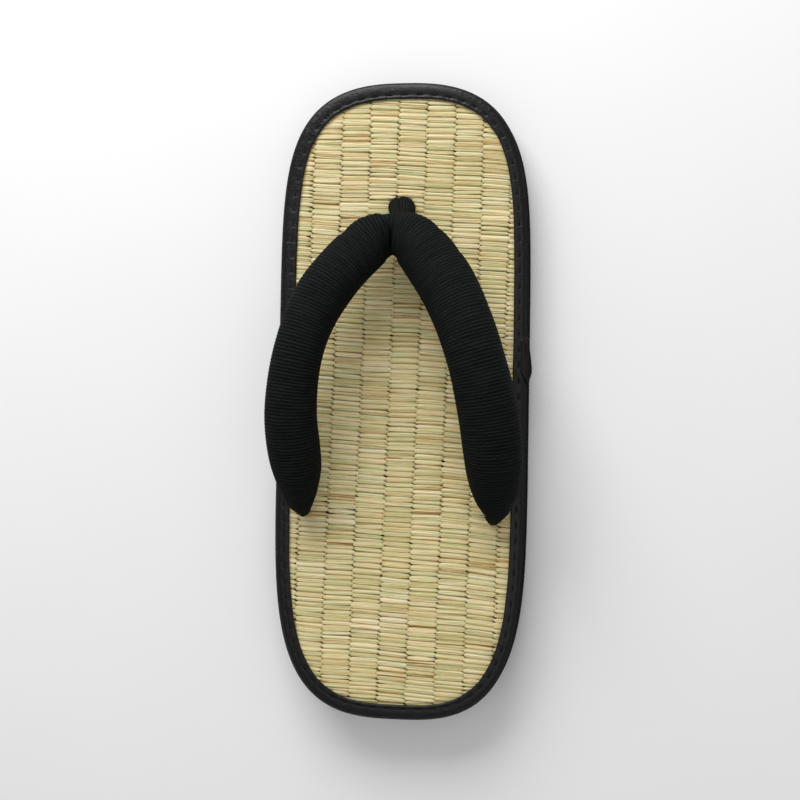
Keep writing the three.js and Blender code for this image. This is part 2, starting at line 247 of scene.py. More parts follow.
class Skin:
    """Gathers grids of points into one mesh, with a UV map and per-point numbers."""

    def __init__(self):
        self.points, self.corners, self.totals, self.uvs, self.extras = [], [], [], [], {}
        self.count = 0

    def grid(self, points, u, v, close_u=False, close_v=False, **extras):
        """Adds a grid of shape (U, V, 3). u and v are the UV values of its rows and columns,
        with one value more than it has rows or columns where it closes on itself."""
        rows, columns = points.shape[:2]
        steps_u = rows if close_u else rows - 1
        steps_v = columns if close_v else columns - 1
        r, c = np.meshgrid(np.arange(steps_u), np.arange(steps_v), indexing="ij")
        r, c = r.ravel(), c.ravel()
        ring_r = np.stack([r, r, r + 1, r + 1], 1)
        ring_c = np.stack([c, c + 1, c + 1, c], 1)
        self.corners.append(((ring_r % rows) * columns + ring_c % columns + self.count).ravel())
        self.totals.append(np.full(len(r), 4))
        self.uvs.append(np.stack([np.asarray(u)[ring_r], np.asarray(v)[ring_c]], -1).reshape(-1, 2))
        self._keep(points, extras)

    def strips(self, points, u, v, **extras):
        """Adds many open grids at once, as an array of shape (pieces, U, V, 3)."""
        pieces, rows, columns = points.shape[:3]
        r, c = np.meshgrid(np.arange(rows - 1), np.arange(columns - 1), indexing="ij")
        ring_r = np.stack([r, r, r + 1, r + 1], -1).reshape(-1, 4)
        ring_c = np.stack([c, c + 1, c + 1, c], -1).reshape(-1, 4)
        one = ring_r * columns + ring_c
        every = one[None] + (np.arange(pieces) * rows * columns)[:, None, None] + self.count
        self.corners.append(every.ravel())
        self.totals.append(np.full(pieces * len(one), 4))
        uv = np.stack([np.asarray(u)[ring_r], np.asarray(v)[ring_c]], -1).reshape(1, -1, 2)
        self.uvs.append(np.repeat(uv, pieces, 0).reshape(-1, 2))
        self._keep(points, extras)

    def fan(self, ring, centre, **extras):
        """Closes a ring of points with triangles to its centre."""
        n = len(ring)
        k = np.arange(n)
        self.corners.append((np.stack([k, (k + 1) % n, np.full(n, n)], 1) + self.count).ravel())
        self.totals.append(np.full(n, 3))
        self.uvs.append(np.zeros((3 * n, 2)))
        self._keep(np.r_[ring, centre[None]], extras)

    def _keep(self, points, extras):
        """Keeps the points and their numbers, which are repeated over the grid where they are
        fewer than its points, and are 0 where none are given."""
        for name in {**self.extras, **extras}:
            values = np.broadcast_to(extras.get(name, 0.0), points.shape[:-1])
            self.extras.setdefault(name, [np.zeros(self.count)]).append(values.ravel())
        self.points.append(points.reshape(-1, 3))
        self.count += len(self.points[-1])

    def build(self, name, material, slot, stands_for=None, weld=True):
        """Makes the piece, with doubles merged and faces turned outwards where it is welded."""
        mesh = bpy.data.meshes.new(name)
        corners = np.concatenate(self.corners).astype(np.int32)
        totals = np.concatenate(self.totals).astype(np.int32)
        mesh.vertices.add(self.count)
        mesh.vertices.foreach_set("co", (np.concatenate(self.points) * MM).astype(np.float32).ravel())
        mesh.loops.add(len(corners))
        mesh.loops.foreach_set("vertex_index", corners)
        mesh.polygons.add(len(totals))
        mesh.polygons.foreach_set("loop_start", np.r_[0, np.cumsum(totals)[:-1]].astype(np.int32))
        mesh.polygons.foreach_set("loop_total", totals)
        mesh.uv_layers.new(name="Surface").data.foreach_set(
            "uv", np.concatenate(self.uvs).astype(np.float32).ravel())
        for key, values in self.extras.items():
            mesh.attributes.new(key, "FLOAT", "POINT").data.foreach_set(
                "value", np.concatenate(values).astype(np.float32))
        mesh.update(calc_edges=True)
        if weld:
            made = bmesh.new()
            made.from_mesh(mesh)
            bmesh.ops.remove_doubles(made, verts=made.verts, dist=1e-6)
            bmesh.ops.recalc_face_normals(made, faces=made.faces)
            made.to_mesh(mesh)
            made.free()
        mesh.polygons.foreach_set("use_smooth", np.ones(len(mesh.polygons), bool))
        mesh.materials.append(material)
        piece = bpy.data.objects.new(name, mesh)
        bpy.context.scene.collection.objects.link(piece)
        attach(piece, BODY)
        if stands_for:
            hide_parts(stands_for)
        return piece


# ---------------------------------------------------------------- material helpers

def linear(colour, alpha=1.0):
    """A display colour as the linear one that a shader takes."""
    c = np.asarray(colour, float)
    return (*np.where(c <= 0.04045, c / 12.92, ((c + 0.055) / 1.055) ** 2.4), alpha)


def paler(colour, times):
    """A display colour made so many times lighter, as the linear one."""
    return linear(tuple(min(1, c * times) for c in colour))


class Wire:
    """A number's socket. Arithmetic on it adds Math nodes."""

    def __init__(self, recipe, socket):
        self.recipe, self.socket = recipe, socket

    def math(self, operation, first, second):
        """A Math node on two numbers or sockets."""
        return self.recipe.number("ShaderNodeMath", {"operation": operation}, {0: first, 1: second})

    def __add__(self, other):
        return self.math("ADD", self, other)

    __radd__ = __add__

    def __mul__(self, other):
        return self.math("MULTIPLY", self, other)

    __rmul__ = __mul__

    def __sub__(self, other):
        return self.math("SUBTRACT", self, other)

    def __rsub__(self, other):
        return self.math("SUBTRACT", other, self)

    def between(self, low, high):
        """0 below low and 1 above high, smooth in between."""
        settings = {"interpolation_type": "SMOOTHSTEP"}
        return self.recipe.number("ShaderNodeMapRange", settings, {0: self, 1: low, 2: high, 3: 0.0, 4: 1.0})


class Recipe:
    """One material: a shader and the nodes that feed it."""

    def __init__(self, name, **constants):
        self.material = bpy.data.materials.new(name)
        self.material.use_nodes = True
        self.tree = self.material.node_tree
        self.tree.nodes.clear()
        self.shader = self.node("ShaderNodeBsdfPrincipled", {}, constants)
        self.output = self.tree.nodes.new("ShaderNodeOutputMaterial")
        self.tree.links.new(self.shader.outputs[0], self.output.inputs[0])

    def cover(self, factor, **constants):
        """Lays a second shader over the first, seen where factor is 1, and gives it back."""
        over = self.node("ShaderNodeBsdfPrincipled", {}, constants)
        layers = {0: factor, 1: self.shader.outputs[0], 2: over.outputs[0]}
        both = self.node("ShaderNodeMixShader", {}, layers)
        self.tree.links.new(both.outputs[0], self.output.inputs[0])
        return over

    def node(self, kind, settings, inputs):
        """A node of this kind: its settings first, then the values or links of its sockets."""
        node = self.tree.nodes.new(kind)
        for key, value in settings.items():
            if key == "stops":
                ramp = node.color_ramp
                while len(ramp.elements) < len(value):
                    ramp.elements.new(1.0)
                for element, (position, colour) in zip(ramp.elements, value):
                    element.position, element.color = position, colour
            else:
                setattr(node, key, value)
        for key, value in inputs.items():
            socket = node.inputs[key.replace("_", " ") if isinstance(key, str) else key]
            if isinstance(value, Wire):
                value = value.socket
            if isinstance(value, bpy.types.NodeSocket):
                self.tree.links.new(value, socket)
            else:
                socket.default_value = value
        return node

    def number(self, kind, settings, inputs, output=0):
        """The same for a node that gives a number, as a Wire."""
        return Wire(self, self.node(kind, settings, inputs).outputs[output])

    def feed(self, **links):
        """Links what changes over the surface to the shader's sockets."""
        for key, value in links.items():
            source = value.socket if isinstance(value, Wire) else value
            self.tree.links.new(source, self.shader.inputs[key.replace("_", " ")])

    def attribute(self, name):
        """One of the numbers that a Skin keeps for each point."""
        return self.number("ShaderNodeAttribute", {"attribute_name": name}, {}, "Fac")

    def place(self, scale=(1, 1, 1), own_uv=False):
        """Object coordinates in millimetres, or the piece's UV map, stretched by scale."""
        if own_uv:
            source = self.node("ShaderNodeUVMap", {"uv_map": "Surface"}, {}).outputs[0]
            return self.node("ShaderNodeMapping", {}, {"Vector": source, "Scale": scale}).outputs[0]
        source = self.node("ShaderNodeTexCoord", {}, {}).outputs["Object"]
        size = tuple(1000 * s for s in scale)
        return self.node("ShaderNodeMapping", {}, {"Vector": source, "Scale": size}).outputs[0]

    def noise(self, place, detail=3.0, roughness=0.5):
        """Cloudy noise between 0 and 1."""
        inputs = {"Vector": place, "Scale": 1.0, "Detail": detail, "Roughness": roughness}
        return self.number("ShaderNodeTexNoise", {}, inputs)

    def cells(self, place):
        """Distance to the nearest of many scattered points."""
        return self.number("ShaderNodeTexVoronoi", {}, {"Vector": place, "Scale": 1.0})

    def apart(self, vector, number):
        """Moves a pattern by a number, so that each stalk gets its own part of it."""
        return self.node("ShaderNodeVectorMath", {"operation": "ADD"}, {0: vector, 1: number}).outputs[0]

    def mix(self, factor, a, b, blend="MIX"):
        """Mixes colours a and b by a number."""
        settings = {"data_type": "RGBA", "blend_type": blend}
        return self.node("ShaderNodeMix", settings, {0: factor, 6: a, 7: b}).outputs[2]

    def bump(self, height, distance, strength=1.0, normal=None):
        """A normal raised by height times distance, in millimetres, over another normal."""
        inputs = {"Height": height, "Distance": distance * MM, "Strength": strength}
        if normal:
            inputs["Normal"] = normal
        return self.node("ShaderNodeBump", {}, inputs).outputs[0]


# ---------------------------------------------------------------- materials

def rush_material(colours):
    """Dried rush. A ramp from pale to brown is read at each stalk's tint plus a streaky noise
    along it; each stalk leans to green or to red by its own hue. The side away from the toe is
    warmed to orange in places as painted shade, the gaps between stalks are painted brown as
    shade, and the ends darken as painted shade where they dive."""
    rush = Recipe("rush_stalks", Roughness=0.5, Specular_IOR_Level=0.5)
    tint, dive, edge, line, own = (rush.attribute(name) for name in ("tint", "dive", "edge", "line", "hue"))
    streak = rush.noise(rush.apart(rush.place((0.15, 2.4, 1.0)), own * 40), 4.0, 0.6)
    warmth = rush.noise(rush.place((0.22, 2.2, 1.0)), 3.0, 0.6)
    blotch = rush.noise(rush.place((0.04, 0.06, 0.05)), 2.0)
    shade = tint + (streak - 0.5) * 0.9 + (blotch - 0.5) * 0.25
    pale, green, tan = (linear(c) for c in (colours.rush_pale, colours.rush_green, colours.rush_tan))
    bleached, brown = linear((0.95, 0.92, 0.78)), linear((0.60, 0.40, 0.22))
    stops = [(0.0, bleached), (0.3, pale), (0.58, green), (0.82, tan), (1.0, brown)]
    dried = rush.node("ShaderNodeValToRGB", {"stops": stops}, {0: shade}).outputs[0]
    hue = own + (rush.noise(rush.apart(rush.place((0.14, 1.6, 1.0)), own * 25), 2.0) - 0.5) * 2.0
    greenish, reddish = (0.91, 1.0, 0.97, 1), (1.15, 0.95, 0.87, 1)
    leaning = rush.mix(1.0, dried, rush.mix(hue, greenish, reddish), "MULTIPLY")
    # painted shade: the side of each bundle and stalk away from the toe, and so from the key light, is warmed
    # to orange in places
    heelward_shaded = rush.mix(edge * warmth.between(0.36, 0.66) * 0.85, leaning, linear((0.83, 0.56, 0.32)))
    # painted shade: the grooves between bundles and the partings between stalks are darkened to brown
    gap_shaded = rush.mix(line * 0.86, heelward_shaded, linear((0.24, 0.155, 0.08)))
    # painted shade: the stalk ends darken where they dive under the next column
    dark = rush.mix(dive.between(0.3, 1.0) * 0.6, gap_shaded, linear((0.22, 0.18, 0.11)))
    height = streak * 0.6 + rush.noise(rush.place((0.8, 12.0, 3.0)), 2.0) * 0.4
    rush.feed(Base_Color=dark, Roughness=streak * 0.25 + 0.42, Normal=rush.bump(height, 0.08, 0.6))
    return rush.material


def board_material():
    """The mat's warp and the board between the stalks: threads along the sole, in a very deep brown that is
    painted shade for the gaps between stalks.
    """
    board = Recipe("mat_ground_shade", Roughness=0.9, Specular_IOR_Level=0.2)
    thread = board.noise(board.place((2.2, 0.25, 1.0)), 3.0)
    # painted shade: the ground is made very deep brown so the gaps between stalks read as shadow
    colour = board.mix(thread, linear((0.05, 0.045, 0.03)), linear((0.16, 0.13, 0.085)))
    board.feed(Base_Color=colour, Normal=board.bump(thread, 0.3))
    return board.material


def tape_material(colours):
    """Coated binding tape: near black, fine grain and slight creases, paler with painted highlight
    on its shoulder and inner ridge and in random worn patches, darker with painted shade in the
    stitch dimples, and matt on its wall."""
    tape = Recipe("coated_tape", Roughness=0.5, Specular_IOR_Level=0.33)
    grain = tape.noise(tape.place((2.6, 2.6, 2.6)), 2.0)
    fine = tape.cells(tape.place((1.9, 1.9, 1.9)))
    cloud = tape.noise(tape.place((0.06, 0.06, 0.06)), 3.0)
    rub, sewn = tape.attribute("rub"), tape.attribute("sewn")
    base = linear(colours.tape)
    # painted highlight on the tape's shoulder and inner ridge, mixed with random paler wear
    wear_and_highlight = (rub * 0.7 + (cloud - 0.5) * 0.5 + (grain - 0.5) * 0.35).between(0.0, 1.0)
    # painted shade: the tape darkens in the stitch dimples
    colour = tape.mix(sewn, tape.mix(wear_and_highlight, base, paler(colours.tape, 2.4)), linear((0.01, 0.01, 0.012)))
    rough = cloud * 0.14 + grain * 0.10 + sewn * 0.4 + 0.22
    creased = tape.bump(tape.noise(tape.place((0.55, 0.55, 0.55)), 3.0, 0.6), 0.5, 0.5)
    normal = tape.bump(fine * 0.6 + grain * 0.4, 0.09, 0.8, creased)
    tape.feed(Base_Color=colour, Roughness=rough, Normal=normal)
    wall = tape.cover(tape.attribute("wall"), Roughness=0.8, Specular_IOR_Level=0.06)
    wall.inputs["Base Color"].default_value = base
    return tape.material


def thread_material():
    """Sewing thread: black, mottled and bumped by one noise."""
    thread = Recipe("sewing_thread", Roughness=0.6, Specular_IOR_Level=0.2)
    twist = thread.noise(thread.place((5.0, 5.0, 5.0)), 1.0)
    colour = thread.mix(twist, linear((0.012, 0.012, 0.014)), linear((0.055, 0.055, 0.06)))
    thread.feed(Base_Color=colour, Normal=thread.bump(twist, 0.15))
    return thread.material


def cloth_material(name, colour, crest_highlight, lining=False):
    """Ribbed cloth: crests paler than the valleys as painted highlight, with the yarns as a fine
    cross bump, and a plain paler lining where there is one."""
    cloth = Recipe(name, Roughness=0.8, Specular_IOR_Level=0.06)
    rib = cloth.attribute("rib")
    yarn = cloth.noise(cloth.place((1.2, 5.5, 1.0), own_uv=True), 2.0)
    slub = cloth.noise(cloth.place((0.9, 0.12, 1.0), own_uv=True), 3.0)
    # painted highlight on the rib crests, mixed with the yarns' own mottling
    level = (rib * 0.6 + (yarn - 0.5) * 1.3 + (slub - 0.5) * 0.6).between(0.0, 1.0)
    shade = cloth.mix(level, linear(colour), paler(colour, crest_highlight))
    rough = yarn * 0.2 + 0.68
    if lining:
        under = cloth.attribute("lining")
        shade = cloth.mix(under, shade, paler(colour, 4.0))
        rough = rough - under * 0.2
    cloth.feed(Base_Color=shade, Roughness=rough, Normal=cloth.bump(yarn, 0.28))
    return cloth.material


def sole_material(colours):
    """Foam rubber: matt black with fine open pores and a little dust in the hollows."""
    sole = Recipe("foam_rubber", Roughness=0.8, Specular_IOR_Level=0.08)
    pores = sole.cells(sole.place((1.4, 1.4, 1.4)))
    fine = sole.noise(sole.place((3.0, 3.0, 3.0)), 3.0)
    cloud = sole.noise(sole.place((0.05, 0.05, 0.05)), 3.0)
    dust = (fine * 0.5 + cloud * 0.6 - 0.25).between(0.0, 1.0)
    height = pores.between(0.0, 0.35) * 0.7 + fine * 0.3
    sole.feed(
        Base_Color=sole.mix(dust, linear(colours.sole), paler(colours.sole, 1.8)),
        Roughness=fine * 0.15 + 0.7, Normal=sole.bump(height, 0.12, 0.7))
    return sole.material


# ---------------------------------------------------------------- sole

TREAD_PITCH, TREAD_DEPTH, TREAD_MARGIN = 5.2, 1.3, 6.0
TREAD_WAVE, TREAD_WAVE_LENGTH = 2.2, 22.0
# The sole's rounded foot: inset from the outline and height over the lower face.
SOLE_FOOT = ((3.2, 0), (2.2, 0.12), (1.3, 0.4), (0.6, 0.95), (0.15, 1.8), (0, 3.0))
# Its wall swells a little between the foot and the rim: shares of the way up, and how far.
SOLE_WALL, SOLE_SWELL = (0.25, 0.5, 0.75, 1.0), 0.18
# Its rim and the seat of the board: inset and depth below the rim.
SOLE_RIM = ((0.12, 0.5), (0.4, 0.15), (0.8, 0), (3.0, 0), (6.6, 0), (7.0, -1.2))


def sole_skin():
    """The sole as rings with the plan's outline, closed by a grid above and below. The lower
    grid has wavy grooves pressed up into it inside a plain margin."""
    skin = Skin()
    right, right_out, _ = half_outline(520)
    edge_inset = SOLE_FOOT[0][0]
    edge = right - edge_inset * right_out
    x, y, share = across_plan(edge, 57)
    inside = np.minimum(edge[:, :1] * (1 - np.abs(share)), HALF_LENGTH - edge_inset - np.abs(y))
    wave = y + TREAD_WAVE * np.sin(2 * np.pi * x / TREAD_WAVE_LENGTH)
    groove = smooth((np.cos(2 * np.pi * wave / TREAD_PITCH) - 0.1) / 0.6)
    pressed = smooth((inside - TREAD_MARGIN) / 1.5)
    skin.grid(np.stack([x, y, ground_height(y) + TREAD_DEPTH * groove * pressed], -1), edge[:, 1], share)

    points, out, length = whole_outline(520)
    rings = [inset_ring(points, out, inset, ground_height, lift) for inset, lift in SOLE_FOOT]
    low = ground_height(points[:, 1]) + SOLE_FOOT[-1][1]
    high = top_height(points[:, 1]) - RIM_DEPTH - 0.9
    for up in SOLE_WALL:
        rings.append(np.c_[points + SOLE_SWELL * np.sin(np.pi * up) * out, low + (high - low) * up])
    rings += [inset_ring(points, out, inset, top_height, -RIM_DEPTH - depth) for inset, depth in SOLE_RIM]
    round_plan = np.linspace(0, length, len(points) + 1)
    skin.grid(np.stack(rings, 1), round_plan, np.arange(len(rings)), close_u=True)

    inset, depth = SOLE_RIM[-1]
    edge = right - inset * right_out
    x, y, share = across_plan(edge, 5)
    skin.grid(np.stack([x, y, top_height(y) - RIM_DEPTH - depth], -1), edge[:, 1], share)
    return skin


# ---------------------------------------------------------------- footbed

MAT_DEPTH = 1.3  # from the stalks' crests down to the ground of the mat
# The board's side and upper edge: inset from the sole's edge and depth below the upper face.
BOARD_SIDE = ((1.7, BOARD_DEPTH), (1.7, 3.0), (1.8, 2.1), (2.6, 1.9), (6.0, 1.9), (7.0, MAT_DEPTH))


def board_skin():
    """The board under the stalks: rings for its side, and a plain grid below and above."""
    skin = Skin()
    points, out, length = whole_outline(220)
    rings = [inset_ring(points, out, inset, top_height, -depth) for inset, depth in BOARD_SIDE]
    round_plan = np.linspace(0, length, len(points) + 1)
    skin.grid(np.stack(rings, 1), round_plan, np.arange(len(rings)), close_u=True)
    right, out, _ = half_outline(220)
    for inset, depth in (BOARD_SIDE[0], BOARD_SIDE[-1]):
        edge = right - inset * out
        x, y, share = across_plan(edge, 25)
        skin.grid(np.stack([x, y, top_height(y) - depth], -1), edge[:, 1], share)
    return skin


def tape_reach(x, y):
    """How much further in the tape's lip lies than its section says: more on the left than on
    the right, and more round the toe and heel, as smooth steps of the place."""
    leftward = (1 - x / HALF_WIDTH) / 2
    toeward = smooth((y + 20) / 100)
    return leftward * (0.5 + 0.7 * toeward) + 0.4 * smooth((y - 95) / 30) + 0.35 * smooth((-y - 95) / 30)


def edge_distance(points):
    """Distance of plan points from the sole's outline, positive inside: from the nearest point
    of the outline, along its normal. It goes through the points in blocks, to save memory."""
    outline, out, _ = whole_outline(500)
    flat = points.reshape(-1, 2)
    nearest = np.empty(len(flat))
    block = 4000
    for start in range(0, len(flat), block):
        some = flat[start:start + block]
        gap = some[:, None] - outline[None]
        k = np.argmin((gap**2).sum(-1), 1)
        nearest[start:start + block] = -(gap[np.arange(len(some)), k] * out[k]).sum(-1)
    return nearest.reshape(points.shape[:-1])


COLUMN_SHIFT = -4.8  # where a column's edge crosses the sole's middle
COLUMNS = np.arange(-6, 7)
FLOAT_TILT = math.radians(-2.0)  # stalks slope against the columns
FLOAT_OVERLAP = 0.5  # how far a float reaches past its column, at each end
TAPE_COVER = 4.9  # stalks nearer to the sole's edge than this stay under the tape
TAPE_PRESS, PRESSED_FROM = 0.74, 7.7  # how deep the tape presses the stalks, and from how far in
SPLITS = np.array([-0.5, 0.0, 0.5])  # where a bundle splits into its four stalks
# Along a float and across a stalk, from -1 to 1, where the surface has points.
KNOTS = np.array([-1.0, -0.9, -0.77, -0.27, 0.27, 0.77, 0.9, 1.0])
STALK_POINTS = np.array([-1.0, -0.5, 0.5, 1.0])
# Where the straps and the post go through: x, y, half width, half depth.
HOLES = ((-38.0, -46.1, 1.5, 1.6), (37.9, -47.1, 2.6, 1.7), (-0.7, 78.8, 5.0, 4.2))
HOLE_DEPTH = 1.5


def mat_rows(rng, count, row):
    """Places of the stalk bundles along the sole. Steps differ a little, and odd bundles show in
    odd columns, even ones in even columns, so neighbouring columns interlock."""
    steps = row / 2 * np.clip(1 + rng.normal(0, 0.2, count), 0.5, 1.6)
    places = np.cumsum(steps)
    return (places - places.mean()) * (row / 2 * (count - 1)) / (places[-1] - places[0])


def on_mat(sizes, q, p):
    """Plan of the mat's places, q across its columns and p along them: a turned grid whose rows
    bend as two slow sines."""
    turn = sizes.grain_turn
    along = np.array([math.sin(turn), math.cos(turn)])
    across = np.array([math.cos(turn), -math.sin(turn)])
    p = p + 0.35 * np.sin(q / 17.0 + 0.6) + 0.2 * np.sin(q / 7.0 + p / 31.0)
    return q[..., None] * across + p[..., None] * along


def mat_floats(rng, sizes):
    """Every float of the mat: its column, its low and high edge, and what is its own, such as
    its tilt, how deep it lies, its tone and how it splits."""
    places = mat_rows(rng, 2 * int(2 * HALF_LENGTH / sizes.row_pitch) + 24, sizes.row_pitch)
    edges = []
    for column in COLUMNS:
        mine = places[(column % 2)::2]
        between = (mine[1:] + mine[:-1]) / 2 + rng.normal(0, 0.12, len(mine) - 1)
        q = np.full(len(between) - 1, COLUMN_SHIFT + (column + 0.5) * sizes.column_pitch)
        edges.append(np.stack([q, between[:-1], between[1:]], 1))
    q, low, high = np.concatenate(edges).T
    count = len(q)
    return SimpleNamespace(
        q=q, low=low, high=high, middle=(low + high) / 2,
        tilt=np.tan(FLOAT_TILT + rng.normal(0, math.radians(0.7), count)),
        sink=rng.uniform(0, 1, count) ** 2 * 0.25,
        tone=rng.normal(0.36, 0.06, count),
        split=SPLITS + rng.uniform(-0.2, 0.2, (count, 3)),
        skew=rng.normal(0, 0.10, (count, 3)),
        reach=rng.normal(0, 0.04, count),
        parted=rng.uniform(0, 1, (count, 2)) ** 1.2)


def trimmed(floats, sizes, half):
    """The floats that show, each with the first and last place along it, from -1 to 1, that lies
    inside the tape's inner edge or just under it."""
    probe = np.linspace(-1, 1, 41)
    along = floats.middle[:, None] + probe * half * floats.tilt[:, None]
    inside = edge_distance(on_mat(sizes, floats.q[:, None] + probe * half, along)) > TAPE_COVER
    floats.first = probe[np.argmax(inside, 1)]
    floats.last = probe[40 - np.argmax(inside[:, ::-1], 1)]
    kept = inside.any(1) & (floats.last - floats.first > 0.08)
    return SimpleNamespace(**{name: values[kept] for name, values in vars(floats).items()})


def pressed_depth(xy):
    """How far the stalks are pressed down: under the tape, and round the holes."""
    edge = edge_distance(xy) - tape_reach(xy[..., 0], xy[..., 1])
    depth = TAPE_PRESS * smooth((PRESSED_FROM - edge) / 1.3)
    for x, y, half_width, half_depth in HOLES:
        off = np.hypot((xy[..., 0] - x) / half_width, (xy[..., 1] - y) / half_depth)
        depth = depth + HOLE_DEPTH * smooth((1.10 - off) / 0.22)
    return depth


def stalk_skin(sizes):
    """The woven stalks. A bundle shows as a float over one column, and splits into four stalks.
    Along the float's length t, from -1 to 1, it narrows and dives as smooth steps near its ends.
    Across, each stalk is a shallow parabola on the bundle's own, steeper, curve."""
    rng = np.random.default_rng(11)
    half = sizes.column_pitch / 2 + FLOAT_OVERLAP
    floats = trimmed(mat_floats(rng, sizes), sizes, half)
    count = len(floats.q)

    t = floats.first[:, None] + (KNOTS * 0.5 + 0.5) * (floats.last - floats.first)[:, None]
    near_end = np.abs(t) + floats.reach[:, None]
    dive = smooth((near_end - 0.87) / 0.2)
    narrowing = 1 - 0.46 * smooth((near_end - 0.76) / 0.2)
    breadth = (floats.high - floats.low)[:, None] / 2 * narrowing
    centre = floats.middle[:, None] + t * half * floats.tilt[:, None]
    partings = np.clip(floats.split[:, None] + floats.skew[:, None] * t[..., None] * 2, -0.85, 0.85)
    limits = (np.full_like(t, -1.04), *np.moveaxis(partings, 2, 0), np.full_like(t, 1.04))
    skin = Skin()
    for lower, upper in zip(limits[:-1], limits[1:]):
        lower, upper = np.minimum(lower, upper) - 0.04, np.maximum(lower, upper) + 0.04
        f = lower[..., None] + (upper - lower)[..., None] * (STALK_POINTS * 0.5 + 0.5)
        pp = centre[..., None] + breadth[..., None] * f
        qq = np.broadcast_to((floats.q[:, None] + t * half)[..., None], pp.shape)
        xy = on_mat(sizes, qq, pp)
        own_sink = rng.uniform(0, 0.16, count)
        gap = np.where(f < 0, floats.parted[:, :1, None], floats.parted[:, 1:, None])
        height = -(0.12 + 0.26 * gap) * np.abs(f) ** 2.6 - 0.14 * STALK_POINTS**2 - dive[..., None]
        sunk = height - floats.sink[:, None, None] - own_sink[:, None, None]
        z = top_height(xy[..., 1]) + sunk - pressed_depth(xy)

        tint = floats.tone + rng.normal(0, 0.15, count)
        odd = rng.uniform(0, 1, count) > 0.975
        tint = np.where(odd, tint + rng.uniform(0.25, 0.5, count), tint)
        hue = rng.normal(0.5, 0.2, count)
        thin = rng.uniform(0, 1, count) ** 2
        # painted shade in the grooves between bundles, stronger where the gap is deeper, and along the
        # partings between stalks
        shade_between_bundles = (0.2 + 0.8 * gap) * smooth((np.abs(f) - 0.72) / 0.28)
        shade_between_stalks = thin[:, None, None] * smooth((-STALK_POINTS - 0.6) / 0.4)
        skin.strips(
            np.concatenate([xy, z[..., None]], -1), KNOTS, STALK_POINTS,
            tint=tint[:, None, None], hue=hue[:, None, None], dive=dive[..., None],
            line=np.maximum(shade_between_bundles, shade_between_stalks),
            # edge: where the painted shade on the side away from the toe goes
            edge=np.maximum(smooth((-f - 0.5) / 0.5), 0.6 * smooth((-STALK_POINTS - 0.4) / 0.6)))
    return skin


# ---------------------------------------------------------------- binding

# The tape's section: inset from the sole's edge and height over the footbed's face.
TAPE_SECTION = np.array([
    (6.18, -0.62), (6.34, -0.42), (6.36, -0.05), (6.26, 0.26), (6.05, 0.42), (5.8, 0.44), (5.5, 0.36),
    (5.15, 0.30), (4.8, 0.32), (4.4, 0.35), (3.9, 0.33), (3.3, 0.24), (2.7, 0.08), (2.1, -0.16),
    (1.6, -0.46), (1.2, -0.84), (0.9, -1.28), (0.68, -1.85), (0.55, -2.5), (0.47, -3.4), (0.47, -4.6),
    (0.5, -6.2), (0.56, -7.1), (0.8, -7.6), (1.3, -7.8), (6.3, -7.8), (6.3, -6.9), (1.4, -6.9),
    (1.4, -2.4), (1.9, -1.4), (2.8, -0.9), (5.0, -0.6)])
STITCH_LENGTH, STITCH_RADIUS = 2.8, 0.27
SEAM_INSET, SEAM_BOW = 4.75, 0.7  # from the sole's edge, and how much less along the sides
# The lap along the sole: where it starts, stands off most and ends, and how far it stands off.
LAP_START, LAP_CREST, LAP_END, LAP_STANDS = 26.0, 12.5, 7.0, 1.25
LAP_THICKNESS = 0.4


def seam_inset(points, out):
    """Distance of the sewing line from the sole's edge: further in round the toe and heel."""
    return SEAM_INSET - SEAM_BOW * out[..., 0] ** 2 + tape_reach(points[..., 0], points[..., 1])


def lap_stand(y):
    """How far the tape's loose end stands off: rises slowly from the toe side, falls fast."""
    return smooth((LAP_START - y) / (LAP_START - LAP_CREST)) * smooth((y - LAP_END) / (LAP_CREST - LAP_END))


def tape_wall(section):
    """1 on the upright wall of the tape and 0 on its face, a smooth step of the height."""
    return smooth((-0.3 - section[:, 1]) / 1.0)


def whole_stitches(length, pitch):
    """How many stitches fit along a closed length, as a whole number near length over pitch."""
    return round(length / pitch)


def binding_skin(sizes):
    """The tape's section carried round the plan. A trough runs along the seam, a bell curve
    across that deepens by a smooth step at each stitch, and beside it the tape puckers up
    between stitches."""
    points, out, length = whole_outline(1050)
    whole = whole_stitches(length, sizes.stitch_pitch)
    phase = np.arange(len(points)) / len(points) * whole
    step = length / whole
    section, height = TAPE_SECTION.T
    upper = (height > -0.7) & (section > 1.5)
    seam = seam_inset(points, out)
    inset = section + tape_reach(*points.T)[:, None] * smooth((section - 1.5) / 3.0)
    from_middle = np.abs(phase - np.floor(phase) - 0.5) * step
    along = smooth((STITCH_LENGTH / 2 + 0.5 - from_middle) / 0.8)
    off_seam = inset - seam[:, None]
    trough = np.exp(-((off_seam / 0.32) ** 2))
    angle = np.linspace(0, 2 * np.pi, len(points), endpoint=False)
    uneven = 0.06 * ripple(3, 23 * angle) + 0.05 * ripple(4, 61 * angle)
    pucker = 0.14 * (1 - along)[:, None] * np.exp(-(((off_seam - 0.9) / 0.6) ** 2))
    lift = (-(0.12 + 0.34 * along[:, None]) * trough + pucker + uneven[:, None]) * upper
    inset = inset + 0.10 * ripple(5, 31 * angle)[:, None] * (section > 5.7)
    p = points[:, None] - inset[..., None] * out[:, None]
    z = top_height(p[..., 1]) + height + lift
    skin = Skin()
    girth = 34.0
    around = np.append(distances(TAPE_SECTION), girth)
    # painted highlight: the rounded shoulder and the inner ridge of the tape are made paler
    rounded = 0.45 * smooth((4.2 - section) / 1.5) * smooth((section - 0.8) / 0.8)
    rub = rounded + np.exp(-((section - 5.7) ** 2) / 0.3**2)
    skin.grid(
        np.concatenate([p, z[..., None]], -1), np.linspace(0, length, len(points) + 1), around,
        close_u=True, close_v=True, rub=rub * upper, wall=tape_wall(TAPE_SECTION),
        # painted shade in the stitch dimples, deepest at each stitch
        sewn=trough * (0.15 + 0.7 * along[:, None]) * upper)
    return skin


